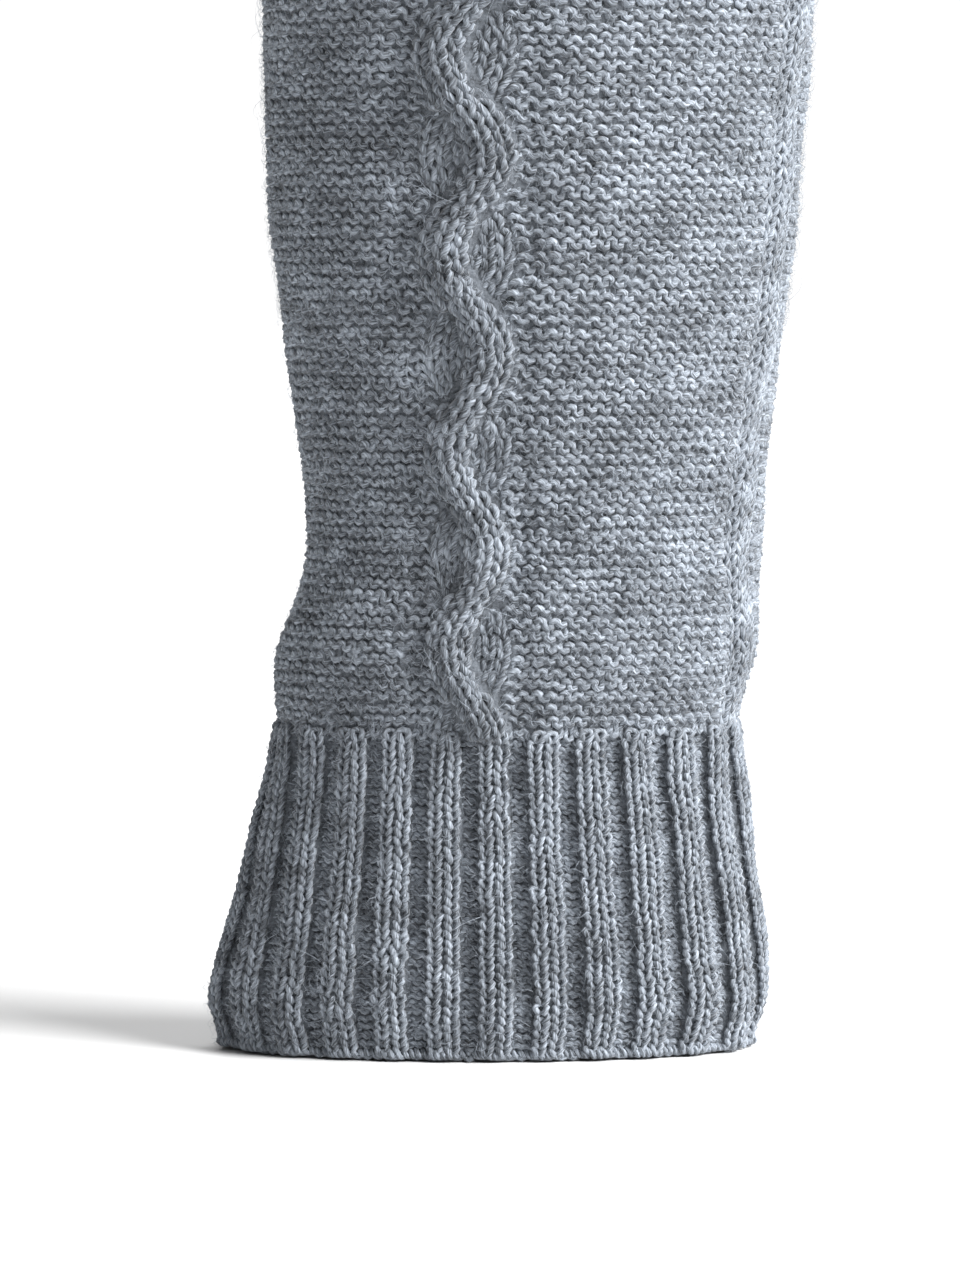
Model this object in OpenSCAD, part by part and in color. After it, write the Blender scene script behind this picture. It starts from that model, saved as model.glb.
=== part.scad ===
// Long fingerless mitten, knitted flat in grey yarn and seamed into a tube. It stands
// on its ribbed cuff edge. The origin lies under the middle of the tube at that edge,
// +Z runs up the arm, and the cabled front faces -Y.

/* [Heights] */
// Height of the whole mitten
total_h = 230; // [215:1:260]
// Height of the ribbed cuff at the hand end
cuff_h = 53; // [48:1:58]
// Height of the wrist, where the hand and forearm sections bend
wrist_z = 83; // [81:1:88]
// Height of the plain knit that bends at the wrist
wrist_h = 26; // [22:1:28]
// Height of the ribbing at the forearm end
top_rib_h = 14; // [8:1:20]
// Height of the rolled edge at each end
edge_h = 2.2; // [1.6:0.1:3]

/* [Knit] */
// Thickness of the plain knit
fabric_t = 2.2; // [1.6:0.1:2.8]
// Thickness of the ribbing
rib_t = 3; // [2.4:0.1:3.6]
// Depth of the grooves between the ribs
rib_relief = 0.9; // [0.4:0.1:1.2]
// Rib repeats round the tube, each two knit and two purl columns
rib_count = 25; // [20:1:30]
// Yarn diameter
yarn_d = 1; // [0.8:0.1:1.2]

/* [Cable] */
// Width of the cable column
cable_w = 14.4; // [13.6:0.2:18]
// Width of one strand of the cable
strand_w = 7.4; // [6:0.2:8]
// Sideways swing of a strand from the middle of the column
strand_swing = 3.3; // [2.5:0.1:3.4]
// Height of one full wave of the strand
strand_period = 31.5; // [26:0.5:36]
// How far the front strand stands out of the plain knit
strand_rise = 1.9; // [1:0.1:2.4]

/* [Seam] */
// Width of the two selvedges joined inside the tube
seam_w = 5; // [4:0.5:7]
// Thickness of the joined selvedges
seam_t = 1.8; // [1.2:0.1:2.4]

/* [Hidden] */

// Faces of neighbouring solids stay this far apart
clear = 0.05;
// Gap between the bending wrist knit and the forearm section
body_gap = 0.3;
// The seam yarn keeps this far from the fabric, and the yarn tails a little further
yarn_gap = 0.1;
tail_gap = 0.4;
// Flat columns round the whole tube, and rows up it, at most this tall
ring_cols = 60;
row_h = 7;
// Rows up one wave of the cable
rows_per_wave = 8;
// Depth of the back strand under the face of the plain knit
channel_depth = 0.8;
// Height at which the cable's front strand lies furthest right
wave_z = 51;
// Middle of the cable column across the tube, at the cuff and at the top
cable_x = [-8.2, -9.4];
// Angle of the seam round the tube from the front, at the hand and on the forearm
seam_angle = [60, 72];
// Length of a yarn tail woven in along the seam
tail_l = 28;

hand_z0 = cuff_h;
wrist_z0 = wrist_z - wrist_h / 2;
wrist_z1 = wrist_z + wrist_h / 2;
forearm_z0 = wrist_z1 + body_gap;
top_z0 = total_h - edge_h - top_rib_h;

// Shape of the tube: height, middle in x, half width, half depth
stations = [
    [0, -5.55, 43.9, 20.6],
    [8, -5.55, 45.5, 22],
    [27, -3.4, 42.1, 23],
    [cuff_h, -1.9, 38.2, 23.5],
    [cuff_h + 11, -0.75, 39.4, 25.6],
    [wrist_z, 2.35, 37.1, 26],
    [wrist_z + 22, 2.2, 39.4, 29],
    [wrist_z + 49, 2.1, 42.6, 33],
    [wrist_z + 88, 3.05, 45.2, 36],
    [total_h - 12, 4.05, 47, 38],
    [total_h, 4.05, 46.5, 37.4]
];
last = len(stations) - 1;

function station_below(z, i = 0) =
    (i >= last - 1 || z < stations[i + 1][0]) ? i : station_below(z, i + 1);
function slope(i, k) =
    (i == 0 || i == last) ? 0
    : (stations[i + 1][k] - stations[i - 1][k]) / (stations[i + 1][0] - stations[i - 1][0]);
// Smooth curve through column k of the stations
function track(z, k) =
    let (
        i = station_below(z),
        a = stations[i],
        b = stations[i + 1],
        h = b[0] - a[0],
        t = (z - a[0]) / h
    )
    (2 * pow(t, 3) - 3 * pow(t, 2) + 1) * a[k]
    + (pow(t, 3) - 2 * pow(t, 2) + t) * h * slope(i, k)
    + (3 * pow(t, 2) - 2 * pow(t, 3)) * b[k]
    + (pow(t, 3) - pow(t, 2)) * h * slope(i + 1, k);

// A point on the tube at an angle from the front, a height, and a distance off its face
function on_tube(angle, z, off) = [
    track(z, 1) + (track(z, 2) + off) * sin(angle),
    -(track(z, 3) + off) * cos(angle),
    z
];
function ease(t) = let (c = min(1, max(0, t))) c * c * (3 - 2 * c);
function degrees_of(width, z) = width / track(z, 2) * 180 / PI;
function cable_angle(z) =
    let (x = cable_x[0] + (cable_x[1] - cable_x[0]) * ease((z - cuff_h) / (total_h - cuff_h)))
    asin((x - track(z, 1)) / track(z, 2));
function seam_at(z) =
    seam_angle[0] + (seam_angle[1] - seam_angle[0]) * ease((z - wrist_z) / (wrist_h / 2));
function wave(z) = strand_swing * cos(360 * (z - wave_z) / strand_period);

// Heights from z0 to z1 with rows no taller than step
function levels(z0, z1, step) =
    let (n = ceil((z1 - z0) / step))
    [for (i = [0:n]) z0 + (z1 - z0) * i / n];
// The cross-section of a strip of the tube's wall between two angles
function strip_row(z, from, to, cols, outer, inner) = concat(
    [for (i = [0:cols]) on_tube(from + (to - from) * i / cols, z, outer)],
    [for (i = [0:cols]) on_tube(to + (from - to) * i / cols, z, inner)]
);

// A solid through a stack of cross-sections with equal counts of points. Point i of a
// cross-section lies across its wall from the point i places before the last one.
module skin(rows) {
    n = len(rows[0]);
    m = len(rows);
    sides = [
        for (j = [0:m - 2], i = [0:n - 1])
            each [
                [j * n + i, (j + 1) * n + i, (j + 1) * n + (i + 1) % n],
                [j * n + i, (j + 1) * n + (i + 1) % n, j * n + (i + 1) % n]
            ]
    ];
    caps = [
        for (i = [0:n / 2 - 2])
            let (t = (m - 1) * n)
            each [
                [i, i + 1, n - 2 - i],
                [i, n - 2 - i, n - 1 - i],
                [t + i, t + n - 2 - i, t + i + 1],
                [t + i, t + n - 1 - i, t + n - 2 - i]
            ]
    ];
    polyhedron([for (row = rows) each row], concat(sides, caps));
}

// A closed ring of wall, from an outer and an inner stack of cross-sections
module ring(outer_rows, inner_rows) {
    n = len(outer_rows[0]);
    m = len(outer_rows);
    size = n * m;
    faces = [
        for (i = [0:n - 1])
            let (k = (i + 1) % n)
            each concat(
                [for (j = [0:m - 2], face = [
                    [j * n + i, (j + 1) * n + i, (j + 1) * n + k],
                    [j * n + i, (j + 1) * n + k, j * n + k],
                    [size + j * n + i, size + (j + 1) * n + k, size + (j + 1) * n + i],
                    [size + j * n + i, size + j * n + k, size + (j + 1) * n + k]
                ]) face],
                [
                    [i, k, size + k],
                    [i, size + k, size + i],
                    [(m - 1) * n + i, size + (m - 1) * n + i, size + (m - 1) * n + k],
                    [(m - 1) * n + i, size + (m - 1) * n + k, (m - 1) * n + k]
                ]
            )
    ];
    points = concat([for (row = outer_rows) each row], [for (row = inner_rows) each row]);
    polyhedron(points, faces);
}

// Ribbing: two raised and two sunken columns in each repeat
module rib_zone(z0, z1) {
    cols = 4 * rib_count;
    zs = levels(z0, z1, row_h);
    outer = [for (z = zs)
        [for (i = [0:cols - 1])
            on_tube((i + 0.5) * 360 / cols, z, i % 4 < 2 ? 0 : -rib_relief)]];
    inner = [for (z = zs)
        [for (i = [0:cols - 1]) on_tube((i + 0.5) * 360 / cols, z, -rib_t)]];
    ring(outer, inner);
}

// Rolled edge at an end of the tube, with a flat face to stand on
module edge_zone(z0, z1) {
    middle_z = (z0 + z1) / 2;
    difference() {
        translate([0, 0, z0])
            linear_extrude(z1 - z0)
                polygon([for (i = [0:ring_cols - 1])
                    let (p = on_tube(i * 360 / ring_cols, middle_z, -rib_relief / 2))
                    [p[0], p[1]]]);
        translate([0, 0, z0 - 1])
            linear_extrude(z1 - z0 + 2)
                polygon([for (i = [0:ring_cols - 1])
                    let (p = on_tube(i * 360 / ring_cols, middle_z, -rib_t))
                    [p[0], p[1]]]);
    }
}

// A panel of plain knit between two angles, which may change with height
module panel(z0, z1, from, to, cols) {
    skin([for (z = levels(z0, z1, row_h))
        strip_row(z, from(z), to(z), cols, 0, -fabric_t)]);
}
function cable_left(z) = cable_angle(z) - degrees_of(cable_w / 2 + clear, z);
function cable_right(z) = cable_angle(z) + degrees_of(cable_w / 2 + clear, z);
function before_seam(z) = seam_at(z) - degrees_of(clear, z);
function after_seam(z) = seam_at(z) + degrees_of(clear, z);
function left_fold(z) = -90;
function left_fold_from_back(z) = 270 - degrees_of(2 * clear, z);

// Plain knit from the left fold to the cable, from the cable to the seam, and from the
// seam round the back to the left fold
module front_left_zone(z0, z1) {
    panel(z0, z1, function(z) left_fold(z), function(z) cable_left(z), 12);
}
module front_right_zone(z0, z1) {
    panel(z0, z1, function(z) cable_right(z), function(z) before_seam(z), 14);
}
module back_zone(z0, z1) {
    panel(z0, z1, function(z) after_seam(z), function(z) left_fold_from_back(z), 34);
}

// The strand behind, which fills the column under the front strand
module cable_back_zone(z0, z1) {
    cols = 6;
    skin([for (z = levels(z0, z1, strand_period / rows_per_wave))
        let (
            middle = cable_angle(z),
            half = degrees_of(cable_w / 2 - clear, z)
        )
        strip_row(z, middle - half, middle + half, cols, -channel_depth, -fabric_t)]);
}

// The strand in front, a rounded cord that swings from side to side
module cable_front_zone(z0, z1) {
    cols = 8;
    foot = 0.6;
    skin([for (z = levels(z0, z1, strand_period / rows_per_wave))
        let (
            middle = cable_angle(z) + degrees_of(wave(z), z),
            half = degrees_of(strand_w / 2, z),
            base = clear - channel_depth,
            crown = strand_rise - base - foot
        )
        concat(
            [for (i = [0:cols])
                let (s = 2 * i / cols - 1)
                on_tube(middle + half * s, z, base + foot + crown * cos(90 * s))],
            [for (i = [0:cols])
                on_tube(middle + half * (1 - 2 * i / cols), z, base)]
        )]);
}

// Two selvedges joined along the inside of the tube
module seam_zone(z0, z1) {
    cols = 4;
    skin([for (z = levels(z0, z1, row_h))
        let (half = degrees_of(seam_w / 2, z))
        strip_row(z, seam_at(z) - half, seam_at(z) + half, cols,
            -fabric_t - clear, -fabric_t - clear - seam_t)]);
}

// Yarn that joins the selvedges, lying in the groove on the outside
module seam_yarn_zone(z0, z1) {
    cols = 4;
    skin([for (z = levels(z0, z1, row_h))
        let (half = degrees_of(yarn_d / 2, z))
        strip_row(z, seam_at(z) - half, seam_at(z) + half, cols,
            yarn_gap + yarn_d * 0.6, yarn_gap)]);
}

// End of the yarn, darned in along the inside beside the seam
module yarn_tail(z0) {
    sides = 8;
    beside = seam_w + 2 * yarn_d;
    skin([for (z = levels(z0, z0 + tail_l, tail_l / 6))
        let (
            off = -rib_t - tail_gap - yarn_d / 2,
            angle = seam_at(z) + degrees_of(beside, z),
            middle = on_tube(angle, z, off)
        )
        [for (i = [0:sides - 1])
            middle + yarn_d / 2 * [cos(360 * i / sides), sin(360 * i / sides), 0]]]);
}

module cuff_edge() { color("dimgray") edge_zone(0, edge_h); }
module cuff_rib() { color("slategray") rib_zone(edge_h, cuff_h); }
module cuff_yarn_tail() { color("gray") yarn_tail(edge_h + 4); }
module hand_front_left() { color("lightslategray") front_left_zone(hand_z0, wrist_z0); }
module hand_front_right() { color("lightslategray") front_right_zone(hand_z0, wrist_z0); }
module hand_back() { color("lightslategray") back_zone(hand_z0, wrist_z0); }
module hand_cable_front() { color("silver") cable_front_zone(hand_z0, wrist_z0); }
module hand_cable_back() { color("dimgray") cable_back_zone(hand_z0, wrist_z0); }
module hand_seam() { color("gray") seam_zone(hand_z0, wrist_z0); }
module hand_seam_yarn() { color("darkgray") seam_yarn_zone(hand_z0, wrist_z0); }
module wrist_front_left() { color("lightslategray") front_left_zone(wrist_z0, wrist_z1); }
module wrist_front_right() { color("lightslategray") front_right_zone(wrist_z0, wrist_z1); }
module wrist_back() { color("lightslategray") back_zone(wrist_z0, wrist_z1); }
module wrist_cable_front() { color("silver") cable_front_zone(wrist_z0, wrist_z1); }
module wrist_cable_back() { color("dimgray") cable_back_zone(wrist_z0, wrist_z1); }
module wrist_seam() { color("gray") seam_zone(wrist_z0, wrist_z1); }
module wrist_seam_yarn() { color("darkgray") seam_yarn_zone(wrist_z0, wrist_z1); }
module forearm_front_left() { color("lightslategray") front_left_zone(forearm_z0, top_z0); }
module forearm_front_right() { color("lightslategray") front_right_zone(forearm_z0, top_z0); }
module forearm_back() { color("lightslategray") back_zone(forearm_z0, top_z0); }
module forearm_cable_front() { color("silver") cable_front_zone(forearm_z0, top_z0); }
module forearm_cable_back() { color("dimgray") cable_back_zone(forearm_z0, top_z0); }
module forearm_seam() { color("gray") seam_zone(forearm_z0, top_z0); }
module forearm_seam_yarn() { color("darkgray") seam_yarn_zone(forearm_z0, top_z0); }
module forearm_rib() { color("slategray") rib_zone(top_z0, total_h - edge_h); }
module forearm_edge() { color("dimgray") edge_zone(total_h - edge_h, total_h); }
module forearm_yarn_tail() { color("gray") yarn_tail(total_h - edge_h - tail_l - 4); }

cuff_edge();
cuff_rib();
cuff_yarn_tail();
hand_front_left();
hand_front_right();
hand_back();
hand_cable_front();
hand_cable_back();
hand_seam();
hand_seam_yarn();
wrist_front_left();
wrist_front_right();
wrist_back();
wrist_cable_front();
wrist_cable_back();
wrist_seam();
wrist_seam_yarn();
forearm_front_left();
forearm_front_right();
forearm_back();
forearm_cable_front();
forearm_cable_back();
forearm_seam();
forearm_seam_yarn();
forearm_rib();
forearm_edge();
forearm_yarn_tail();
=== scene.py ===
"""Looks of the knitted fingerless mitten.

Every stitch is a real loop of yarn. A course is one row of stitches round the tube, and a
wale is one column of stitches up it. The tube's shape is read from the CAD nodes, and each
course is a yarn that runs round it in loops, whose legs lie in front for knit and behind
for purl. Lengths are in metres, and places round the tube are in wales, counted to the
right from the middle of the cable.
"""

import math

import bpy
import numpy as np
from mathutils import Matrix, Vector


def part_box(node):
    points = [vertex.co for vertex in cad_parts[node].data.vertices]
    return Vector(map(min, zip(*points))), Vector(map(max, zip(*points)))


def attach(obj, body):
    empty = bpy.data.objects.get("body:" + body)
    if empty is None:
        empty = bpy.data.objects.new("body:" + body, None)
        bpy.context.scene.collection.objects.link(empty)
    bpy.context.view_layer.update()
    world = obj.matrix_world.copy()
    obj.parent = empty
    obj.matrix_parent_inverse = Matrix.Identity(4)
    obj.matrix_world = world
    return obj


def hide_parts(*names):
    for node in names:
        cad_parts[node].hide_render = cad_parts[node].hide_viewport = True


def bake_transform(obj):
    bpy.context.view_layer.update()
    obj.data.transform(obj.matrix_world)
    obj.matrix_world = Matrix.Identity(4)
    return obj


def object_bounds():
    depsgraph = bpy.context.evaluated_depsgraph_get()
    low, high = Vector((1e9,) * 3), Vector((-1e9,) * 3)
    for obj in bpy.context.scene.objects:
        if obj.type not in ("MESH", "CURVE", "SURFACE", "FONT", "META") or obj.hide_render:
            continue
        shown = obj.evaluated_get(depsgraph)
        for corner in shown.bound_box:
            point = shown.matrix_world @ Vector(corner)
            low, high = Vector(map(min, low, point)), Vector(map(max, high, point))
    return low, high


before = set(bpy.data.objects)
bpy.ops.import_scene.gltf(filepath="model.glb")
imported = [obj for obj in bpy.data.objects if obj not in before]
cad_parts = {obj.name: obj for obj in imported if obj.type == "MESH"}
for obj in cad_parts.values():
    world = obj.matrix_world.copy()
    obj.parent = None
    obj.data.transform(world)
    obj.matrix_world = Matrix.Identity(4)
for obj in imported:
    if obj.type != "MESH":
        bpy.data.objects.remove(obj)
CAD_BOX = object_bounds()

MM = 0.001
HAND, FOREARM = "hand_section", "forearm_section"
RNG = np.random.default_rng(7)

# Stitches
WALES = 100                    # columns of stitches round the tube
ALL_COLUMNS = np.arange(WALES)
GROUND_COURSE = 2.0 * MM       # height of a stitch in the plain knit
RIB_COURSE = 1.36 * MM         # height of a stitch in the ribbing
GROUND_YARN = 0.55 * MM        # radius of the yarn in the plain knit
RIB_YARN = 0.51 * MM           # radius of the yarn in the ribbing, where it is pulled tighter
CABLE_YARN = 0.64 * MM         # radius of the yarn in the cable, where it is loose and full
LOOP_DEPTH = 0.42 * MM         # how far a loop swings in front of and behind the fabric
LOOP_REACH = 0.76              # half height of a loop, as a share of its course
PURL_CURL = 0.17               # sideways curl of a purl loop, as a share of its wale
KNIT_CURL = 0.29               # the same for a knit loop
MID_DEPTH = LOOP_DEPTH + GROUND_YARN   # the fabric's middle lies this far under its face
UNEVEN = 0.14                  # unevenness of a stitch's reach, as a share of it
YARN_UNEVEN = 0.09             # unevenness of the yarn's radius

# Cable, in wales
CABLE_WALES = 3                # wales in each of the two strands
CABLE_HALF = 3.4               # half width of the cable's column where the strands lie apart
STRAND_SWING = 1.6             # how far a strand's middle swings to each side
STITCH_WIDTH = 1.18            # width of a stitch in the strands
CABLE_PULL = 2.5               # how far to each side the crossings pull the plain knit in
STRAND_PERIOD = 31.5 * MM
STRAND_RIGHT_Z = 51 * MM       # a height at which the front strand is furthest right
STRAND_RISE = 2.3 * MM         # how far the front strand stands out of the plain knit
STRAND_SINK = 0.3 * MM         # how far the back strand lies under it, and more where they cross
CABLE_X = (-8.2 * MM, -9.4 * MM)  # middle of the column at the cuff and at the top

# Ribbing
RIB_REPEAT = 4                 # two knit wales, then two purl wales
RIB_RELIEF = 1.0 * MM          # knit wales stand out by this, and purl wales sink by it
FLAT_END = 8 * MM              # the ribs flatten over this height towards each end
RIB_PULL = 0.20                # how far the knit wales spread over the purl ones, in wales

# Columns of stitches at which the seam and the left fold lie
SEAM_COLUMN = 26
FOLD_COLUMN = 82
SEAM_BORDER = 3                # knit columns between the seam and the plain knit at its back
SEAM_SINK = 1.3 * MM           # depth of the groove along the seam
SEWING_YARN = 0.42 * MM        # radius of the yarn in the seam and along the selvedges
TAIL_YARN = 0.5 * MM

# Surface of the cloth
SWELL = 0.35 * MM              # height of its slow swells
CABLE_DIP = 0.6 * MM           # depth of the dips beside the cable
END_GAP = 0.9 * MM             # the ribbing starts this far from each end of the tube

# Fibres, and the backing in the middle of the cloth
HAIRS_PER_MM = 105             # short fibres in each millimetre of the tube's height
LONG_HAIRS_PER_MM = 1.2
BACKING_THICKNESS = 0.4 * MM      # thickness of the backing in the middle of the cloth, a dark sheet of painted shade
BACKING_DEPTH = 0.1 * MM          # how far the backing lies under the middle of the yarn

# Meshes
STEPS = 12                     # points along a stitch
SIDES = 5                      # sides of a yarn
GRID_STEP = 1.0 * MM           # height between the rows of the tube's grid


# ---------------------------------------------------------------- shape of the tube

def zone_span(node):
    """Lowest and highest point of a CAD node."""
    low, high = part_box(node)
    return low.z, high.z


def rows_of(nodes):
    """Height, middle in x, half width and half depth of each row of points round the tube."""
    co = np.array([v.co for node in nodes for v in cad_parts[node].data.vertices])
    for z in np.unique(co[:, 2].round(5)):
        row = co[abs(co[:, 2] - z) < 2e-5]
        left, right = row[:, 0].min(), row[:, 0].max()
        yield z, (left + right) / 2, (right - left) / 2, row[:, 1].max()


def smooth_interp(x, xs, ys):
    """A smooth curve through the points xs, ys, read at x."""
    slopes = np.gradient(ys, xs)
    i = np.clip(np.searchsorted(xs, x) - 1, 0, len(xs) - 2)
    h = xs[i + 1] - xs[i]
    t = (x - xs[i]) / h
    return (
        (2 * t**3 - 3 * t**2 + 1) * ys[i] + (t**3 - 2 * t**2 + t) * h * slopes[i]
        + (3 * t**2 - 2 * t**3) * ys[i + 1] + (t**3 - t**2) * h * slopes[i + 1]
    )


def ease(t):
    """A smooth step from 0 to 1."""
    t = np.clip(t, 0, 1)
    return t * t * (3 - 2 * t)


PANELS = ("front_left", "front_right", "back")
RINGS = [["cuff_rib"]] + [
    [f"{zone}_{panel}" for panel in PANELS] for zone in ("hand", "wrist", "forearm")
] + [["forearm_rib"]]
CUFF_TOP = zone_span("cuff_rib")[1]
TOP_RIB_Z0 = zone_span("forearm_rib")[0]
WRIST_Z0, WRIST_Z1 = zone_span("wrist_back")
TOP_Z = zone_span("forearm_edge")[1]


class Tube:
    """The fabric's face as a grid over height and wale, with its outward normals."""

    def __init__(self):
        rows = []
        for row in sorted(row for nodes in RINGS for row in rows_of(nodes)):
            if not rows or row[0] - rows[-1][0] > 3 * MM:
                rows.append(row)
        rows = np.array(rows)
        self.z = np.arange(-4 * MM, TOP_Z + 4 * MM, GRID_STEP)
        inside = np.clip(self.z, rows[0, 0], rows[-1, 0])
        middle, half_w, half_d = (smooth_interp(inside, rows[:, 0], rows[:, k]) for k in (1, 2, 3))
        self.q_step = 0.25
        self.q = np.arange(-WALES / 2, WALES * 1.5 + self.q_step, self.q_step)
        self.girth = np.zeros(len(self.z))
        points = np.zeros((len(self.z), len(self.q), 3))
        for i, z in enumerate(self.z):
            points[i] = self.ring(i, z, middle[i], half_w[i], half_d[i])
        along_q = np.gradient(points, axis=1)
        along_z = np.gradient(points, axis=0)
        normals = np.cross(along_q, along_z)
        normals /= np.linalg.norm(normals, axis=2, keepdims=True)
        self.points, self.normals = points, normals

    def ring(self, i, z, middle, half_w, half_d):
        """Points at even steps round the tube at one height, from the cable's middle."""
        angle = np.linspace(0, 2 * math.pi, 721)
        x, y = middle + half_w * np.sin(angle), -half_d * np.cos(angle)
        arc = np.concatenate([[0], np.cumsum(np.hypot(np.diff(x), np.diff(y)))])
        self.girth[i] = arc[-1]
        up = ease((z - CUFF_TOP) / (TOP_Z - CUFF_TOP))
        cable_x = CABLE_X[0] + (CABLE_X[1] - CABLE_X[0]) * up
        cable_arc = np.interp(math.asin((cable_x - middle) / half_w) % (2 * math.pi), angle, arc)
        wanted = (cable_arc + self.q / WALES * arc[-1]) % arc[-1]
        return np.stack([np.interp(wanted, arc, x), np.interp(wanted, arc, y),
                         np.full(len(self.q), z)], axis=1)

    def at(self, q, z, off):
        """Points at a wale, a height and a distance off the face, and the normals there."""
        i = np.clip((z - self.z[0]) / GRID_STEP, 0, len(self.z) - 1.001)
        j = np.clip((q - self.q[0]) / self.q_step, 0, len(self.q) - 1.001)
        i0, j0 = i.astype(int), j.astype(int)
        u, v = (i - i0)[..., None], (j - j0)[..., None]

        def mixed(grid):
            low = grid[i0, j0] * (1 - v) + grid[i0, j0 + 1] * v
            high = grid[i0 + 1, j0] * (1 - v) + grid[i0 + 1, j0 + 1] * v
            return low * (1 - u) + high * u

        normal = mixed(self.normals)
        normal /= np.linalg.norm(normal, axis=-1, keepdims=True)
        return mixed(self.points) + normal * np.asarray(off)[..., None], normal


# ---------------------------------------------------------------- wales and their relief

PLAIN_WIDTH = (WALES - 2 * CABLE_HALF) / (WALES - 2 * CABLE_WALES)


def wave(z):
    """Where the front strand is, from -1 at the left of the cable's column to 1 at the right."""
    return np.cos(2 * math.pi * (z - STRAND_RIGHT_Z) / STRAND_PERIOD)


def plain_wale(column, z):
    """The middle of a plain column of stitches, pulled in where the cable's strands cross."""
    q = CABLE_HALF + (column - 2 * CABLE_WALES + 0.5) * PLAIN_WIDTH
    half = STITCH_WIDTH * CABLE_WALES / 2 + STRAND_SWING * np.sqrt(wave(z) ** 2 + 0.04)
    pull = max(0, CABLE_HALF - half)
    from_right = np.exp(-(q - CABLE_HALF) / CABLE_PULL)
    from_left = np.exp(-(WALES - CABLE_HALF - q) / CABLE_PULL)
    return q - pull * from_right + pull * from_left


SEAM_WALE = CABLE_HALF + (SEAM_COLUMN - 2 * CABLE_WALES) * PLAIN_WIDTH


def in_ribbing(z):
    """1 in the ribbing at either end, 0 in the plain knit, and smooth between them."""
    blur = 3 * MM
    return 1 - ease((z - CUFF_TOP + blur / 2) / blur) * ease((TOP_RIB_Z0 - z + blur / 2) / blur)


def wale_centre(column, z):
    """Where the columns of stitches are, in wales from the cable's middle, at one height.

    Columns 0 to 2 are the cable's back strand, 3 to 5 its front strand, and the rest is
    plain knit, counted to the right round the tube.
    """
    in_strand = column % CABLE_WALES - (CABLE_WALES - 1) / 2
    side = np.where(column < CABLE_WALES, -1, 1)
    cable = side * STRAND_SWING * wave(z) + in_strand * STITCH_WIDTH
    loose = np.where(column < 2 * CABLE_WALES, cable, plain_wale(column, z))
    pull = np.where(column % RIB_REPEAT < 2, RIB_PULL, -RIB_PULL)
    ribbed = column + 0.5 - CABLE_WALES + pull * np.where(column % 2 == 0, -1, 1)
    share = in_ribbing(z)
    return loose * (1 - share) + ribbed * share


def is_knit(column, z):
    """1 where the stitches show their knit side on the outside, and -1 for purl."""
    rib = np.where(column % RIB_REPEAT < 2, 1, -1)
    seam = (column >= SEAM_COLUMN) & (column < SEAM_COLUMN + SEAM_BORDER)
    plain = np.where((column < 2 * CABLE_WALES) | seam, 1, -1)
    return np.where(in_ribbing(z) > 0.5, rib, plain)


def relief(q, z):
    """Slow swells of the cloth, the groove along the seam, and the dips beside the cable."""
    q = (q + WALES / 2) % WALES - WALES / 2
    swell = SWELL * (
        np.sin(q * 0.37 + z * 70) * np.sin(z * 190 + 1) + 0.6 * np.sin(q * 0.83 - z * 240 + 2)
    )
    groove = SEAM_SINK * np.exp(-(((q - SEAM_WALE) / 0.8) ** 2))
    dips = CABLE_DIP * np.exp(-(((abs(q) - CABLE_HALF - 0.9) / 0.9) ** 2))
    return swell - (groove + dips) * (1 - in_ribbing(z))


def wale_relief(column, z):
    """How far a column of stitches stands out of the plain knit."""
    from_end = min(z, TOP_Z - z)
    flat = 0.5 + 0.5 * ease(from_end / FLAT_END)
    rib = flat * np.where(column % RIB_REPEAT < 2, RIB_RELIEF, -RIB_RELIEF)
    crown = np.where(column % CABLE_WALES == 1, 1.0, 0.6)
    under = 1 - ease(abs(wave(z)) * 1.6)
    back = -STRAND_SINK * (1 + under)
    plain = np.where(
        column < CABLE_WALES, back, np.where(column < 2 * CABLE_WALES, STRAND_RISE * crown, 0)
    )
    share = in_ribbing(z)
    return plain * (1 - share) + rib * share


# ---------------------------------------------------------------- yarn meshes

class Strip:
    """One length of yarn: its centreline, which way is outwards, and its radius.

    Its number shifts the heather pattern, so that no two yarns look the same.
    """

    def __init__(self, points, normals, radius, number, sides=SIDES):
        self.points, self.normals, self.number, self.sides = points, normals, number, sides
        self.radius = np.broadcast_to(radius, len(points))

    def rings(self):
        tangent = np.gradient(self.points, axis=0)
        tangent /= np.linalg.norm(tangent, axis=1, keepdims=True) + 1e-12
        side = np.cross(tangent, self.normals)
        side /= np.linalg.norm(side, axis=1, keepdims=True) + 1e-12
        up = np.cross(side, tangent)
        turn = 2 * math.pi * np.arange(self.sides) / self.sides
        around = np.cos(turn)[None, :, None] * side[:, None]
        around = around + np.sin(turn)[None, :, None] * up[:, None]
        return self.points[:, None] + around * self.radius[:, None, None]

    def lengths(self):
        steps = np.linalg.norm(np.diff(self.points, axis=0), axis=1)
        return np.concatenate([[0], np.cumsum(steps)])


def side_faces(n, sides):
    """The side faces of a tube of n rings, as indices of a ring and of a place on it."""
    i, k = np.meshgrid(np.arange(n - 1), np.arange(sides), indexing="ij")
    ring = np.stack([i, i + 1, i + 1, i]).reshape(4, -1).T
    place = np.stack([k, k, k + 1, k + 1]).reshape(4, -1).T
    return ring, place


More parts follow.
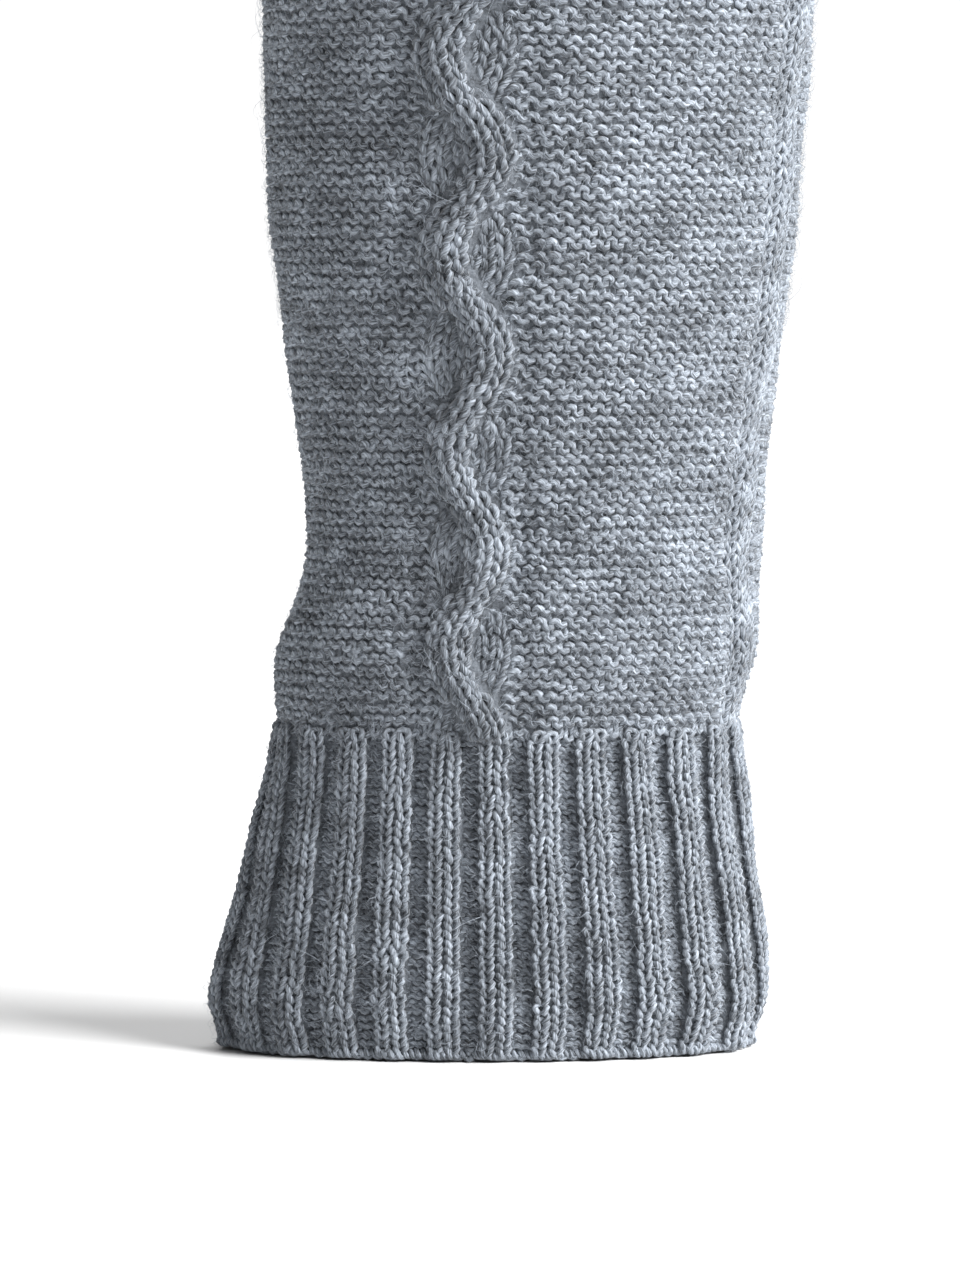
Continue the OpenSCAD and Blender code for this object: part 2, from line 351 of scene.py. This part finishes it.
def mesh_of(name, strips):
    """One mesh of closed yarns. The UV layer "yarn" is in metres along and round the yarn.

    The layer "OFBake" lays the yarns side by side in bands, without overlaps.
    """
    points, quads, caps, yarn_uv, bake_uv, first = [], [], [], [], [], 0
    for band, strip in enumerate(strips):
        n, sides = len(strip.points), strip.sides
        ring, place = side_faces(n, sides)
        points.append(strip.rings().reshape(-1, 3))
        quads.append(first + ring * sides + place % sides)
        caps.append(np.arange(sides) + first)
        caps.append(first + (n - 1) * sides + np.arange(sides)[::-1])
        along = strip.lengths()[ring] + strip.number * 0.137
        yarn_uv.append(np.stack([along, place * 2 * math.pi * GROUND_YARN / sides], axis=-1))
        across = (band + 0.08 + 0.84 * place / sides) / len(strips)
        bake_uv.append(np.stack([0.002 + 0.996 * ring / (n - 1), across], axis=-1))
        first += n * sides
    points, quads, cap_corners = np.concatenate(points), np.concatenate(quads), np.concatenate(caps)
    corners = np.concatenate([quads.ravel(), cap_corners])
    sizes = np.concatenate([np.full(len(quads), 4), [len(c) for c in caps]])
    mesh = bpy.data.meshes.new(name)
    mesh.vertices.add(len(points))
    mesh.vertices.foreach_set("co", points.astype(np.float32).ravel())
    mesh.loops.add(len(corners))
    mesh.loops.foreach_set("vertex_index", corners.astype(np.int32))
    mesh.polygons.add(len(sizes))
    mesh.polygons.foreach_set("loop_start", (np.cumsum(sizes) - sizes).astype(np.int32))
    mesh.polygons.foreach_set("use_smooth", np.ones(len(sizes), bool))
    on_caps = np.full((len(cap_corners), 2), 0.001)
    for layer, uvs in (("yarn", yarn_uv), ("OFBake", bake_uv)):
        values = np.concatenate([uv.reshape(-1, 2) for uv in uvs] + [on_caps])
        mesh.uv_layers.new(name=layer).data.foreach_set("uv", values.astype(np.float32).ravel())
    mesh.update(calc_edges=True)
    mesh.validate()
    piece = bpy.data.objects.new(name, mesh)
    bpy.context.scene.collection.objects.link(piece)
    return piece


# ---------------------------------------------------------------- courses of stitches

class Course:
    """One row of stitches: its columns in order, and its yarn's points, STEPS to a stitch."""

    def __init__(self, z, height, number):
        strands = list(range(2 * CABLE_WALES))
        if wave(z) < 0 and in_ribbing(z) < 0.5:
            strands = strands[CABLE_WALES:] + strands[:CABLE_WALES]
        self.z, self.number = z, number
        self.columns = np.array(strands + list(range(2 * CABLE_WALES, WALES)))
        tight = in_ribbing(z)
        loose = np.where(self.columns < 2 * CABLE_WALES, CABLE_YARN, GROUND_YARN)
        yarn = loose * (1 - tight) + RIB_YARN * tight
        q, heights, depth = self.loops(z, height)
        self.points, self.normals = TUBE.at(q.ravel(), heights.ravel(), depth.ravel())
        self.points = np.vstack([self.points, self.points[:1]])
        self.normals = np.vstack([self.normals, self.normals[:1]])
        thickness = yarn * (1 + RNG.normal(0, YARN_UNEVEN, WALES))
        place = np.arange(len(self.points)) / STEPS - 0.5
        self.radius = np.interp(place, np.arange(WALES), thickness)

    def loops(self, z, height):
        """Wale, height and offset of the yarn's points, a row for each stitch.

        A stitch runs from its foot at phase 0 up a leg to its head at phase pi, and down
        the other leg to the foot that it shares with the next stitch.
        """
        t = np.arange(STEPS) * 2 * math.pi / STEPS
        rising = t < math.pi
        up = (1 - np.cos(t)) / 2
        reach = LOOP_REACH * height
        wobble = RNG.normal(0, 0.6 * UNEVEN, WALES)
        centre = wale_centre(self.columns, z + reach) + wobble
        below = wale_centre(self.columns, z - reach) + wobble
        wrap = np.where(np.arange(WALES) == WALES - 1, WALES, 0)
        right = (below + np.roll(below, -1) + wrap) / 2
        left = np.roll(right - wrap, 1)
        sign = is_knit(self.columns, z)

        def column(values):
            return values[:, None]

        def between(foot, head):
            """From each stitch's foot to its head and to the next stitch's foot."""
            low = np.where(rising, column(foot), column(np.roll(foot, -1)))
            return low + (column(head) - low) * up

        halves = t / math.pi
        q = np.where(
            rising, column(left) + column(centre - left) * halves,
            column(centre) + column(right - centre) * (halves - 1),
        )
        q = q + column(np.where(sign > 0, KNIT_CURL, PURL_CURL)) * np.sin(2 * t)
        heights = z + between(-reach * (1 + RNG.normal(0, UNEVEN, WALES)),
                              reach * (1 + RNG.normal(0, UNEVEN, WALES)))
        foot_side = -(sign + np.roll(sign, 1)) / 2
        ends = between(foot_side, -sign)
        on_leg = (1 - np.cos(2 * t)) / 2
        depth = LOOP_DEPTH * (ends * (1 - on_leg) + column(sign) * on_leg)
        stands = wale_relief(self.columns, z)
        before = np.roll(stands, 1)
        foot_stands = np.minimum(stands, before) + 0.2 * abs(stands - before)
        low = np.where(rising, column(foot_stands), column(np.roll(foot_stands, -1)))
        depth = depth + low + (column(stands) - low) * (1 - (1 - up) ** 2)
        return q, heights, depth + relief(q, z) - MID_DEPTH

    def strip(self, first, last):
        """The yarn through the stitches from one place in the course up to another."""
        cut = slice(first * STEPS, last * STEPS + 1)
        return Strip(self.points[cut], self.normals[cut], self.radius[cut], self.number)


def part_of(column, z):
    """The name of the piece that a stitch belongs to, and of the CAD node that it shows."""
    if z < CUFF_TOP:
        return f"cuff_rib_{column * 4 // WALES + 1}", "cuff_rib"
    if z > TOP_RIB_Z0:
        return "forearm_rib", "forearm_rib"
    zone = "hand" if z < WRIST_Z0 else "wrist" if z < WRIST_Z1 else "forearm"
    if column < 2 * CABLE_WALES:
        panel = "cable_back" if column < CABLE_WALES else "cable_front"
    elif column < SEAM_COLUMN:
        panel = "front_right"
    elif column < FOLD_COLUMN:
        panel = "back"
    else:
        panel = "front_left"
    node = f"{zone}_{panel}"
    if node == "forearm_back":
        third = 1 + 3 * (column - SEAM_COLUMN) // (FOLD_COLUMN - SEAM_COLUMN)
        return f"{node}_{third}", node
    return node, node


def knit_zone(z0, z1, course_height):
    """Courses from one height to another, as strips sorted by piece."""
    count = round((z1 - z0) / course_height)
    height = (z1 - z0) / count
    for j in range(count):
        z = z0 + (j + 0.5) * height
        course = Course(z, height, number=int(z / MM * 10))
        names = [part_of(column, z) for column in course.columns.tolist()]
        first = 0
        for last in range(1, WALES + 1):
            if last == WALES or names[last] != names[first]:
                strips.setdefault(names[first], []).append(course.strip(first, last))
                first = last


TUBE = Tube()
strips = {}
knit_zone(END_GAP, CUFF_TOP, RIB_COURSE)
knit_zone(CUFF_TOP, TOP_RIB_Z0, GROUND_COURSE)
knit_zone(TOP_RIB_Z0, TOP_Z - END_GAP, RIB_COURSE)


# ---------------------------------------------------------------- edges, seam and tails

def helix_strips(q, z, off, spin, wide, high, yarn, twins=2):
    """Yarns that wind round a path, given as wale, height, offset and turn at each point."""
    out = []
    for twin in range(twins):
        turn = spin + 2 * math.pi * twin / twins
        points, normals = TUBE.at(q, z, off)
        steps = np.gradient(points, axis=0)
        tangent = steps / np.linalg.norm(steps, axis=1, keepdims=True)
        side = np.cross(tangent, normals)
        outwards, sideways = np.cos(turn)[:, None] * normals, np.sin(turn)[:, None] * side
        centre = points + outwards * wide + sideways * high
        out.append(Strip(centre, normals, yarn, 900 + twin))
    return out


def edge_strips(node):
    """The edge at an end of the tube: two yarns laid round it, tucked under the last course."""
    z0, z1 = zone_span(node)
    end = z0 if z0 < CUFF_TOP else z1
    inwards = 1 if z0 < CUFF_TOP else -1
    q = np.linspace(0, WALES, WALES * 10 + 1)
    uneven = 0.2 * np.sin(q * 0.9) + 0.15 * np.sin(q * 2.3 + 1)
    wale = np.where((q + CABLE_WALES) % RIB_REPEAT < 2, 1, -1)
    ribs = RIB_RELIEF * np.convolve(np.tile(wale, 3), np.ones(7) / 7, "same")[len(q):2 * len(q)]
    z = end + inwards * (1.05 + 0.25 * uneven) * MM
    spin = 2 * math.pi * q + 2 * uneven
    off = 0.45 * ribs - MID_DEPTH - 0.35 * MM
    return helix_strips(q, z, off, spin, 0.85 * MM, 0.5 * MM, RIB_YARN)


def seam_yarn_strips(zone):
    """The yarn that joins the two selvedges, in and out of the groove on the outside."""
    z0, z1 = zone_span(f"{zone}_back")
    z = np.arange(z0, z1, 0.16 * MM)
    phase = 2 * math.pi * z / (2 * GROUND_COURSE)
    q = SEAM_WALE + 0.16 * np.sin(phase)
    off = relief(np.full(len(z), SEAM_WALE), z) - 0.45 * MM + 0.3 * MM * np.cos(phase)
    points, normals = TUBE.at(q, z, off)
    return [Strip(points, normals, SEWING_YARN, 950)]


def selvedge_strips(zone):
    """The two selvedges, which stand up as a ridge of wrapped yarn on the inside."""
    z0, z1 = zone_span(f"{zone}_back")
    z = np.arange(z0 + 0.3 * MM, z1 - 0.3 * MM, 0.14 * MM)
    out = []
    for side in (-1, 1):
        spin = side * 2 * math.pi * z / GROUND_COURSE
        q = np.full(len(z), SEAM_WALE + side * 0.42)
        off = np.full(len(z), -2 * MID_DEPTH - 1.0 * MM)
        out += helix_strips(q, z, off, spin, 0.8 * MM, 0.45 * MM, SEWING_YARN, twins=1)
    return out


def tail_strips(node):
    """A yarn's end, darned in and out of the backs of the stitches beside the seam."""
    low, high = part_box(node)
    t = np.linspace(0, 1, 160)
    z = low.z + (high.z - low.z) * t
    q = SEAM_WALE + 3 + 0.3 * np.sin(t * 9) + 0.12 * np.sin(t * 31)
    off = -3.3 * MM + 0.35 * MM * np.sin(t * 2 * math.pi * 6)
    points, normals = TUBE.at(q, z, off)
    return [Strip(points, normals, TAIL_YARN * np.clip(6 * (1 - t), 0.25, 1), 970, sides=7)]


for node in ("cuff_edge", "forearm_edge"):
    strips[node, node] = edge_strips(node)
for zone in ("hand", "wrist", "forearm"):
    strips[f"{zone}_seam_yarn", f"{zone}_seam_yarn"] = seam_yarn_strips(zone)
    strips[f"{zone}_seam", f"{zone}_seam"] = selvedge_strips(zone)
for node in ("cuff_yarn_tail", "forearm_yarn_tail"):
    strips[node, node] = tail_strips(node)


# ---------------------------------------------------------------- fuzz

def hair_strips(count, z0, z1, shortest, longest, radius, stand, points):
    """Fine fibres that stand out of the yarn and curl over."""
    out = []
    t = np.linspace(0, 1, points)
    for n in range(count):
        q, z = RNG.uniform(0, WALES), RNG.uniform(z0, z1)
        length = RNG.uniform(shortest, longest)
        turned = RNG.uniform(0, 2 * math.pi) + RNG.normal(0, 1.2) * t
        wale = TUBE.girth[int((z - TUBE.z[0]) / GRID_STEP)] / WALES
        along_q = q + np.cumsum(np.cos(turned)) / points * length / wale
        along_z = z + np.cumsum(np.sin(turned)) / points * length
        arch = np.sin(t * math.pi * RNG.uniform(0.4, 1.0))
        root = relief(q, z) + surface_rise(q, z) - 0.5 * MM
        off = root + 0.5 * MM * np.minimum(1, 3 * t) + stand * RNG.uniform(0.3, 1.0) * arch
        along_z = np.clip(along_z, 0.4 * MM, TOP_Z - 0.4 * MM)
        places, normals = TUBE.at(along_q % WALES, along_z, off)
        out.append(Strip(places, normals, radius * (1 - 0.7 * t), 1000 + n, sides=3))
    return out


def column_gaps(q, z):
    """How far each column lies from a place, in wales."""
    return abs((wale_centre(ALL_COLUMNS, z) - q + WALES / 2) % WALES - WALES / 2)


def surface_rise(q, z):
    """How far the columns nearest to a place stand out there."""
    near = column_gaps(q, z) < 0.6
    return wale_relief(ALL_COLUMNS, z)[near].max() if near.any() else 0.0


FUZZ_ZONES = {"cuff": (0.5 * MM, CUFF_TOP), "hand": (CUFF_TOP, WRIST_Z0),
              "wrist": (WRIST_Z0, WRIST_Z1), "forearm": (WRIST_Z1, (WRIST_Z1 + TOP_Z) / 2),
              "forearm_top": ((WRIST_Z1 + TOP_Z) / 2, TOP_Z)}
for zone, (z0, z1) in FUZZ_ZONES.items():
    tall = (z1 - z0) / MM
    strips[f"{zone}_fuzz", None] = hair_strips(
        int(HAIRS_PER_MM * tall), z0, z1, 1.5 * MM, 4.5 * MM, 0.028 * MM, 0.8 * MM, 4
    ) + hair_strips(
        int(LONG_HAIRS_PER_MM * tall), z0, z1, 6 * MM, 14 * MM, 0.03 * MM, 2.2 * MM, 8
    )


# ---------------------------------------------------------------- backing in the middle of the cloth, partly painted shade

def backing_shell(name):
    """The back of the dense cloth, as one thin closed tube in its middle; its dark material is
    painted shade in the gaps between the stitches.
    """
    zs = np.linspace(1.0 * MM, TOP_Z - 1.0 * MM, 150)
    qs = np.arange(0, WALES, 0.5)
    q, z = np.meshgrid(qs, zs)
    near = np.array([[backing_rise(a, b) for a in qs] for b in zs])
    base = relief(q, z) - MID_DEPTH - BACKING_DEPTH + near
    outer, _ = TUBE.at(q, z, base + BACKING_THICKNESS / 2)
    inner, _ = TUBE.at(q, z, base - BACKING_THICKNESS / 2)
    rows, cols = q.shape
    size = rows * cols
    i, k = np.meshgrid(np.arange(rows - 1), np.arange(cols), indexing="ij")
    nxt = (k + 1) % cols
    face = np.stack([i * cols + k, i * cols + nxt, (i + 1) * cols + nxt, (i + 1) * cols + k])
    face = face.reshape(4, -1).T
    k = np.arange(cols)
    nxt = (k + 1) % cols
    foot = np.stack([k, k + size, nxt + size, nxt]).T
    head = foot[:, ::-1] + (rows - 1) * cols
    faces = np.vstack([face, face[:, ::-1] + size, foot, head])
    mesh = bpy.data.meshes.new(name)
    points = np.vstack([outer.reshape(-1, 3), inner.reshape(-1, 3)])
    mesh.from_pydata(points.tolist(), [], faces.tolist())
    mesh.polygons.foreach_set("use_smooth", np.ones(len(faces), bool))
    piece = bpy.data.objects.new(name, mesh)
    bpy.context.scene.collection.objects.link(piece)
    return piece


def backing_rise(q, z):
    """How far the backing follows the raised and sunken columns at a place."""
    weight = np.exp(-((column_gaps(q, z) / 0.6) ** 2))
    weight = weight * np.where((ALL_COLUMNS < CABLE_WALES) & (in_ribbing(z) < 0.5), 0.2, 1)
    return (wale_relief(ALL_COLUMNS, z) * weight).sum() / (weight.sum() + 1e-6)


# ---------------------------------------------------------------- materials

class Nodes:
    """Short calls for building a material's nodes."""

    def __init__(self, name):
        self.material = bpy.data.materials.new(name)
        self.material.use_nodes = True
        self.tree = self.material.node_tree
        self.shader = self.tree.nodes["Principled BSDF"]

    def add(self, kind, inputs=(), **settings):
        node = self.tree.nodes.new(kind)
        for key, value in settings.items():
            setattr(node, key, value)
        for key, value in dict(inputs).items():
            self.put(value, node.inputs[key])
        return node

    def put(self, value, socket):
        if isinstance(value, bpy.types.NodeSocket):
            self.tree.links.new(value, socket)
        else:
            socket.default_value = value

    def maths(self, operation, *values):
        node = self.add("ShaderNodeMath", operation=operation)
        for i, value in enumerate(values):
            self.put(value, node.inputs[i])
        return node.outputs[0]

    def noise(self, vector, scale, detail=2.0, roughness=0.5):
        inputs = {"Vector": vector, "Scale": scale, "Detail": detail, "Roughness": roughness}
        return self.add("ShaderNodeTexNoise", inputs).outputs["Fac"]

    def ramp(self, value, stops):
        node = self.add("ShaderNodeValToRGB", {"Fac": value})
        points = node.color_ramp.elements
        while len(points) < len(stops):
            points.new(1.0)
        for point, (place, colour) in zip(points, stops):
            point.position, point.color = place, (*colour, 1)
        return node.outputs["Color"]


def grey(value, blue=1.27):
    """A cool grey, with its green and blue a little above its red."""
    return (value, value * (1 + (blue - 1) * 0.42), value * blue)


def yarn_material(name, dark, light):
    """Heather yarn: dark and light fibres twisted together, in patches along the yarn."""
    nodes = Nodes(name)
    uv = nodes.add("ShaderNodeUVMap", uv_map="yarn").outputs["UV"]
    split = nodes.add("ShaderNodeSeparateXYZ", {"Vector": uv})
    along, around = split.outputs["X"], split.outputs["Y"]
    twisted = nodes.maths("MULTIPLY_ADD", along, 0.8, around)

    def streaks(length, width, across):
        """Noise in streaks of that length and width along the yarn."""
        place = nodes.add("ShaderNodeCombineXYZ", {
            "X": nodes.maths("MULTIPLY", along, 1 / length),
            "Y": nodes.maths("MULTIPLY", across, 1 / width)})
        return nodes.noise(place.outputs[0], 1.0, 2.0, 0.6)

    locks = streaks(1.5 * MM, 0.34 * MM, twisted)
    fibres = streaks(2.4 * MM, 0.12 * MM, twisted)
    patches = streaks(8 * MM, 3 * MM, around)
    place = nodes.add("ShaderNodeTexCoord").outputs["Object"]
    stretch = nodes.add("ShaderNodeMapping", {"Vector": place, "Scale": (1.0, 1.0, 2.2)})
    clouds = nodes.noise(stretch.outputs[0], 85.0, 3.0, 0.6)
    mixed = nodes.maths("MULTIPLY", locks, 0.50)
    for part, share in ((fibres, 0.20), (patches, 0.18), (clouds, 0.20)):
        mixed = nodes.maths("ADD", mixed, nodes.maths("MULTIPLY", part, share))
    middle = tuple(0.6 * a + 0.4 * b for a, b in zip(dark, light))
    colour = nodes.ramp(mixed, [(0.44, dark), (0.545, middle), (0.65, light)])
    nodes.put(colour, nodes.shader.inputs["Base Color"])
    ply = nodes.maths("SINE", nodes.maths("MULTIPLY", twisted, 2 * math.pi / (0.8 * MM)))
    height = nodes.maths("ADD", fibres, locks)
    height = nodes.maths("ADD", height, nodes.maths("MULTIPLY", ply, 0.25))
    bump = nodes.add("ShaderNodeBump", {"Height": height, "Strength": 0.7, "Distance": 0.2 * MM})
    nodes.put(bump.outputs["Normal"], nodes.shader.inputs["Normal"])
    fuzzy_finish(nodes.shader)
    return nodes.material


def fuzzy_finish(shader):
    """Dull, with the soft sheen of loose fibres."""
    shader.inputs["Roughness"].default_value = 0.88
    shader.inputs["Specular IOR Level"].default_value = 0.25
    shader.inputs["Sheen Weight"].default_value = 0.22
    shader.inputs["Sheen Roughness"].default_value = 0.45


def painted_shade_backing_material():
    """The backing's material: partly the back of the dense cloth, and partly painted shade, much
    darker than the yarn, for the shade in the gaps between the stitches.
    """
    nodes = Nodes("painted_shade_backing")
    place = nodes.add("ShaderNodeTexCoord").outputs["Object"]
    fine = nodes.noise(place, 2600.0, 4.0, 0.7)
    coarse = nodes.noise(place, 500.0, 3.0, 0.6)
    fine, coarse = nodes.maths("MULTIPLY", fine, 0.5), nodes.maths("MULTIPLY", coarse, 0.5)
    mixed = nodes.maths("ADD", fine, coarse)
    # painted shade: greys far darker than the yarn's, for the shaded gaps between the stitches
    colour = nodes.ramp(mixed, [(0.38, grey(0.02)), (0.62, grey(0.16))])
    nodes.put(colour, nodes.shader.inputs["Base Color"])
    bump = nodes.add("ShaderNodeBump", {"Height": mixed, "Strength": 0.9, "Distance": 0.4 * MM})
    nodes.put(bump.outputs["Normal"], nodes.shader.inputs["Normal"])
    fuzzy_finish(nodes.shader)
    return nodes.material


def hair_material():
    """Single fibres, light and dark."""
    nodes = Nodes("hair")
    uv = nodes.add("ShaderNodeUVMap", uv_map="yarn").outputs["UV"]
    number = nodes.noise(uv, 9.0, 0.0)
    colour = nodes.ramp(number, [(0.3, grey(0.16)), (0.7, grey(0.50))])
    nodes.put(colour, nodes.shader.inputs["Base Color"])
    fuzzy_finish(nodes.shader)
    return nodes.material


MATERIALS = {
    "ground_knit": yarn_material("ground_knit", grey(0.045), grey(0.43)),
    # painted shade: the ribbing is knitted of the plain knit's yarn, with its light fibres set a
    # little darker for the shade in the ribs
    "rib_knit": yarn_material("rib_knit", grey(0.045), grey(0.40)),
    # painted shade: the cable is knitted of the plain knit's yarn, set darker for the shade that
    # lies over the cable
    "cable_knit": yarn_material("cable_knit", grey(0.028), grey(0.36)),
    "edge_knit": yarn_material("edge_knit", grey(0.05), grey(0.42)),
    "seam_yarn": yarn_material("seam_yarn", grey(0.04), grey(0.36)),
    "loose_yarn": yarn_material("loose_yarn", grey(0.05), grey(0.44)),
}
HAIR = hair_material()


def slot_of(name):
    """The record's material slot that a piece takes."""
    for word, slot in (("tail", "loose_yarn"), ("seam_yarn", "seam_yarn"), ("edge", "edge_knit"),
                       ("cable", "cable_knit"), ("rib", "rib_knit")):
        if word in name:
            return slot
    return "ground_knit"


# ---------------------------------------------------------------- putting it together


def follow(piece, name):
    """Parts of the cuff and of the far end follow one body, and the rest has its place baked into
    its mesh.
    """
    if name.startswith("cuff"):
        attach(piece, HAND)
    elif name in ("forearm_rib", "forearm_edge", "forearm_yarn_tail"):
        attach(piece, FOREARM)
    else:
        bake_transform(piece)


for (name, node), lengths in strips.items():
    piece = mesh_of(f"yarn_{name}", lengths)
    follow(piece, name)
    if node:
        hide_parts(node)
        piece.data.materials.append(MATERIALS[slot_of(name)])
    else:
        piece.data.materials.append(HAIR)

# The backing: partly the back of the dense cloth, and partly painted shade in the gaps between the
# stitches
painted_shade_backing = backing_shell("backing_with_painted_shade")
follow(painted_shade_backing, "backing_with_painted_shade")
painted_shade_backing.data.materials.append(painted_shade_backing_material())


# ---------------------------------------------------------------- stage, light and camera

def stage_floor():
    """A wide pale floor under the cuff."""
    half = 6.0
    mesh = bpy.data.meshes.new("floor")
    corners = [(-half, -half, 0), (half, -half, 0), (half, half, 0), (-half, half, 0)]
    mesh.from_pydata([(x, y, CAD_BOX[0].z - 0.2 * MM) for x, y, _ in corners], [], [(0, 1, 2, 3)])
    floor = bpy.data.objects.new("floor", mesh)
    bpy.context.scene.collection.objects.link(floor)
    nodes = Nodes("floor")
    nodes.shader.inputs["Base Color"].default_value = (0.7, 0.7, 0.7, 1)
    nodes.shader.inputs["Roughness"].default_value = 0.9
    mesh.materials.append(nodes.material)


def soft_sun(name, azimuth, elevation, softness, strength):
    """Even light from the right of the front at azimuth 90, and from the front at 0."""
    data = bpy.data.lights.new(name, "SUN")
    data.energy, data.angle = strength, math.radians(softness)
    light = bpy.data.objects.new(name, data)
    turn, tilt = math.radians(azimuth), math.radians(elevation)
    light.rotation_euler = aim((math.sin(turn) * math.cos(tilt), -math.cos(turn) * math.cos(tilt),
                                math.sin(tilt)), (0, 0, 0))
    bpy.context.scene.collection.objects.link(light)


def studio_world(seen, light):
    """A white room, which gives the object a dimmer light than it shows behind it."""
    world = bpy.data.worlds.new("studio")
    world.use_nodes = True
    tree = world.node_tree
    path = tree.nodes.new("ShaderNodeLightPath")
    pick = tree.nodes.new("ShaderNodeMapRange")
    pick.inputs["To Min"].default_value, pick.inputs["To Max"].default_value = light, seen
    tree.links.new(path.outputs["Is Camera Ray"], pick.inputs["Value"])
    tree.links.new(pick.outputs["Result"], tree.nodes["Background"].inputs["Strength"])
    tree.nodes["Background"].inputs["Color"].default_value = (1, 1, 1, 1)
    bpy.context.scene.world = world


def aim(place, target):
    """The rotation that points a light or camera from a place at a target."""
    back = [a - b for a, b in zip(place, target)]
    flat = math.hypot(back[0], back[1])
    return (math.atan2(flat, back[2]), 0, math.atan2(back[0], -back[1]))


def camera_at(target, distance, elevation, tall):
    """A camera in front of the target that shows a frame of that height there."""
    data = bpy.data.cameras.new("camera")
    data.sensor_fit, data.sensor_height, data.sensor_width = "VERTICAL", 36, 36
    data.lens = 18 / (tall / 2 / distance)
    camera = bpy.data.objects.new("camera", data)
    tilt = math.radians(elevation)
    place = (target[0], target[1] - distance * math.cos(tilt),
             target[2] + distance * math.sin(tilt))
    camera.location = place
    camera.rotation_euler = aim(place, target)
    bpy.context.scene.collection.objects.link(camera)
    bpy.context.scene.camera = camera


stage_floor()
soft_sun("key", azimuth=62, elevation=34, softness=38, strength=8.7)
soft_sun("back_fill", azimuth=178, elevation=40, softness=50, strength=2.4)
studio_world(seen=1.05, light=0.21)
bpy.context.scene.view_settings.view_transform = "Standard"

camera_at((-6.5 * MM, -22 * MM, 68.2 * MM), 1.0, 4, 204.8 * MM)
